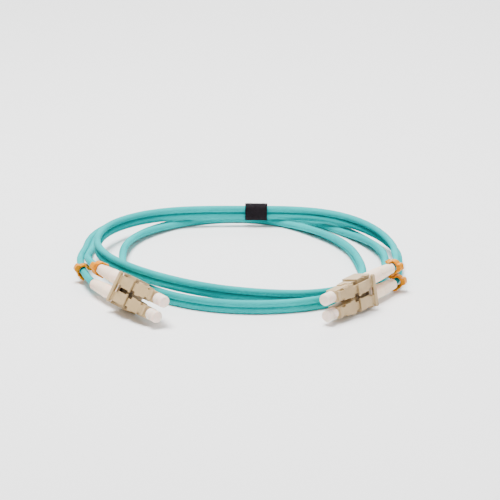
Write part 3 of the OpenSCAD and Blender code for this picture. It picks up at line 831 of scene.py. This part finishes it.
def slot_of(node):
    return next(part["material_slot"] for part in frame["record"]["subparts"] if part["node"] == node)


def carried(made, node):
    """Puts a piece on the body of a CAD node."""
    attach(made, owner(node))
    slot_of(node)


def turned(profile, plug):
    """Surface of revolution about a plug's axis."""
    verts, faces, uvs = [], [], []
    run = 0.0
    for i, (x, radius) in enumerate(profile):
        if i:
            run += math.dist(profile[i - 1], (x, radius))
        for k in range(lathe_sides):
            angle = 2 * math.pi * k / lathe_sides
            verts.append(plug @ Vector((x, radius * math.cos(angle), radius * math.sin(angle))))
            uvs.append((run, k / lathe_sides))
    for i in range(len(profile) - 1):
        for k in range(lathe_sides):
            a, b = i * lathe_sides + k, i * lathe_sides + (k + 1) % lathe_sides
            faces.append((a, b, b + lathe_sides, a + lathe_sides))
    return verts, faces, uvs


def stand_for(node, verts, faces, uvs, look):
    """A piece in place of a CAD node, on the same body."""
    made = piece("looks_" + node, verts, faces, look, owner(node), slot_of(node), uvs)
    outward_faces(made.data)
    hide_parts(node)
    return made


def outward_faces(mesh):
    """Merges doubled points and turns every face outwards."""
    with opened(mesh) as bm:
        bmesh.ops.remove_doubles(bm, verts=bm.verts, dist=own_weld)
        bmesh.ops.recalc_face_normals(bm, faces=bm.faces)


def arc(centre, radius, first, last, steps):
    """Points of a profile's rounding, angles in degrees."""
    turns = [math.radians(first + (last - first) * k / steps) for k in range(steps + 1)]
    return [(centre[0] + radius * math.cos(turn), centre[1] + radius * math.sin(turn)) for turn in turns]


def boot_radius(x):
    """Smooth front half, then a slightly waisted taper over the ribs."""
    if x > boot_middle:
        share = (boot_front - x) / (boot_front - boot_middle)
        return boot_front_r + (boot_waist_r - boot_front_r) * share
    return boot_tail_r + (boot_waist_r - boot_tail_r) * (x - boot_tail) / (boot_middle - boot_tail)


def boot_profile():
    """Closed outline of a boot: spigot, smooth front, a body for the ribs, rounded tail and bore."""
    bore = sleeve_r + sleeve_gap
    shoulder, bend, foot = boot_middle + 0.35, boot_middle + 0.2, boot_middle + 0.1
    ribbed, collar_foot, collar = boot_middle - 1, boot_tail + 1.1, boot_tail + 0.9
    outline = [(boot_spigot_front, bore), (boot_spigot_front, boot_spigot_r), (boot_front, boot_spigot_r)]
    outline += arc((boot_front - boot_edge, boot_front_r - boot_edge), boot_edge, 0, 90, 5)
    outline += [(x, boot_radius(x)) for x in (boot_front - 2.5, boot_front - 5, boot_middle + 2, shoulder)]
    outline += [(bend, boot_radius(boot_middle) - 0.04), (foot, boot_radius(boot_middle) - rib_depth),
                (ribbed, boot_radius(ribbed) - rib_depth), (collar_foot, boot_radius(boot_tail) - 0.1),
                (collar, boot_tail_r)]
    outline += arc((boot_tail + boot_tail_edge, boot_tail_r - boot_tail_edge), boot_tail_edge, 90, 180, 6)
    outline += [(boot_tail, boot_bore_r), (sleeve_rear, boot_bore_r), (sleeve_rear, bore)]
    return outline + outline[:1]


def cap_profile():
    """Closed outline of a dust cap: bored sleeve, grooved head and softly domed end."""
    outline = [(cap_bore_end, 0), (cap_bore_end, cap_bore_r), (cap_rear, cap_bore_r),
               (cap_rear, cap_sleeve_r - cap_chamfer), (cap_rear + cap_chamfer, cap_sleeve_r),
               (0, cap_sleeve_r), (0, cap_r - cap_edge)]
    outline += arc((cap_edge, cap_r - cap_edge), cap_edge, 180, 90, 4)
    for x in cap_grooves:
        outline += [(x, cap_r), (x + groove_slope, cap_r - groove_depth),
                    (x + groove_width - groove_slope, cap_r - groove_depth), (x + groove_width, cap_r)]
    outline += arc((cap_length - cap_rim - cap_dome, cap_r - cap_rim), cap_rim, 90, 12, 7)
    return outline + [(cap_length - cap_sag * q * q, (cap_r - cap_rim) * q)
                      for q in (0.95, 0.75, 0.5, 0.25, 0.0)]


def with_ribs(boot, ribs, plug):
    """Adds the row of ribs to a boot's mesh."""
    row = ribs.copy()
    row.transform(Matrix.Scale(MM, 4) @ plug @ Matrix.Scale(1 / MM, 4))
    with opened(boot.data) as bm:
        bm.from_mesh(row)
        for face in bm.faces:
            face.material_index = 0
            face.smooth = True


ribs = rib_mesh(boot_white)
for name, plug in plugs.items():
    with_ribs(stand_for(name + "_boot", *turned(boot_profile(), plug), boot_white), ribs, plug)
    stand_for(name + "_dust_cap", *turned(cap_profile(), plug), cap_white)


# ---------------------------------------------------------------- moulded pieces with soft edges

def rounded(made, width):
    """Rounds a piece's sharp edges."""
    bevel = made.modifiers.new("edges", "BEVEL")
    bevel.limit_method = "ANGLE"
    bevel.angle_limit = math.radians(edge_angle)
    bevel.width = width * MM
    bevel.segments = edge_segments
    bevel.use_clamp_overlap = True
    bevel.harden_normals = True


def softened(node, look, width):
    """Copy of a CAD node with rounded edges, in its place."""
    mesh = frame["nodes"][node].data.copy()
    mesh.name = "looks_" + node
    with opened(mesh) as bm:
        bmesh.ops.remove_doubles(bm, verts=bm.verts, dist=cad_weld)
        bmesh.ops.dissolve_limit(bm, angle_limit=math.radians(flat_angle), verts=bm.verts, edges=bm.edges)
        bmesh.ops.recalc_face_normals(bm, faces=bm.faces)
    if mesh.has_custom_normals:
        holder = placed("holder", mesh)
        with bpy.context.temp_override(object=holder, active_object=holder, selected_objects=[holder]):
            bpy.ops.mesh.customdata_custom_splitnormals_clear()
        bpy.data.objects.remove(holder)
    mesh.materials.clear()
    mesh.materials.append(look)
    for polygon in mesh.polygons:
        polygon.use_smooth = True
    made = placed(mesh.name, mesh)
    rounded(made, width)
    carried(made, node)
    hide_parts(node)
    return made


def recessed(clip, pair):
    """Cuts the well between the fingers into a clip; the cut faces take a near-black beige as painted
    shade.
    """
    block = bpy.data.meshes.new("well")
    with opened(block) as bm:
        bmesh.ops.create_cube(bm, size=1.0)
        for vertex in bm.verts:
            place = [c + size * v for c, size, v in zip(well_centre, well_size, vertex.co)]
            vertex.co = (pair @ Vector(place)) * MM
    block.materials.append(recess_shade)
    tool = placed("well", block)
    clip.data.materials.append(recess_shade)
    boolean = clip.modifiers.new("well", "BOOLEAN")
    boolean.operation = "DIFFERENCE"
    boolean.solver = "EXACT"
    boolean.material_mode = "TRANSFER"
    boolean.object = tool
    clip.modifiers.move(len(clip.modifiers) - 1, 0)
    mesh = bpy.data.meshes.new_from_object(clip.evaluated_get(bpy.context.evaluated_depsgraph_get()))
    clip.modifiers.clear()
    clip.data = mesh
    bpy.data.objects.remove(tool)


def marker_section(bore):
    """Outer and inner edge of a ring with a crest on top, open at the bottom between two lips."""
    outer, inner = [], []
    first, last = -90 + marker_opening, 270 - marker_opening
    for k in range(marker_steps + 1):
        angle = first + (last - first) * k / marker_steps
        from_end = min(angle - first, last - angle)
        lip = marker_lip * min(max((lip_reach - from_end) / lip_ease, 0), 1)
        crest = marker_crest * min(max((crest_reach - abs(angle - 90)) / crest_ease, 0), 1)
        radius = marker_r + max(lip, crest) - marker_drop
        turn = math.radians(angle)
        outer.append((radius * math.cos(turn), radius * math.sin(turn)))
        inner.append((bore * math.cos(turn), bore * math.sin(turn)))
    return outer + inner[::-1]


def marker_shell(place):
    """Ring with a wide mouth in front and two gripping tabs, placed by a frame."""
    stations = [(-marker_half, marker_bore_r), (0, marker_bore_r),
                (marker_taper, marker_mouth_r), (marker_half, marker_mouth_r)]
    verts, faces = [], []
    for x, bore in stations:
        verts += [place @ Vector((x, y, z)) for y, z in marker_section(bore)]
    count = len(verts) // len(stations)
    for i in range(len(stations) - 1):
        for k in range(count):
            a, b = i * count + k, i * count + (k + 1) % count
            faces.append((a, b, b + count, a + count))
    half = count // 2
    for base in (0, (len(stations) - 1) * count):
        faces += [(base + k, base + k + 1, base + count - 2 - k, base + count - 1 - k)
                  for k in range(half - 1)]
    tab = ((tab_inner, -tab_half), (tab_outer, -tab_half), (tab_outer, tab_half), (tab_inner, tab_half))
    for side in (-1, 1):
        first = len(verts)
        for x in (marker_half - tab_root, marker_half + tab_reach):
            verts += [place @ Vector((x, side * y, z)) for y, z in tab]
        faces += [tuple(first + k for k in corners) for corners in
                  ((0, 1, 2, 3), (4, 5, 6, 7), (0, 1, 5, 4), (1, 2, 6, 5), (2, 3, 7, 6), (3, 0, 4, 7))]
    return verts, faces


def marker_place(at, yaw, roll):
    """Frame of a marker on its leg, from a place in the ring's frame."""
    return (Matrix.Translation(ring_centre + Vector(at)) @ Matrix.Rotation(math.radians(yaw), 4, "Z")
            @ Matrix.Rotation(math.radians(roll), 4, "X"))


soft_edges = {"trigger": (beige_clip, clip_edge), "housing": (beige, housing_edge),
              "latch": (beige, latch_edge), "band": (loop_strip, tie_edge)}
for name in frame["nodes"]:
    kind = name.split("_")[-1]
    if kind in soft_edges:
        softened(name, *soft_edges[kind])
for side, pair in (("left", left_pair), ("right", right_pair)):
    recessed(softened(side + "_clip", beige_clip, clip_edge), pair)

marker_places = {
    "left_a_marker": plugs["left_a"] @ Matrix.Translation((boot_tail - left_a_marker_gap, 0, 0)),
    "right_a_marker": plugs["right_a"] @ Matrix.Translation((boot_tail - right_a_marker_gap, 0, 0)),
    "left_b_marker": marker_place((-60.8, -20, 4.45), -76, 59),
    "right_b_marker": marker_place((60.4, -31, 3.75), -110, -80),
}
for name, place in marker_places.items():
    rounded(stand_for(name, *marker_shell(place), None, orange), marker_edge)

loops = loop_mesh(outer_skin(frame["nodes"]["tie_band"].data.copy()), loop_strip)
loops.name = "tie_loops"
carried(placed("tie_loops", loops), "tie_band")

# The rear bodies take the painted-shade beige; ferrules and fibres keep their own colours.
inner = {"body": beige_inner_shaded, "ferrule": zirconia, "fibre": buffer_coat}
for name, node in frame["nodes"].items():
    node.data.materials.clear()
    node.data.materials.append(inner.get(name.split("_")[-1], turned_metal))
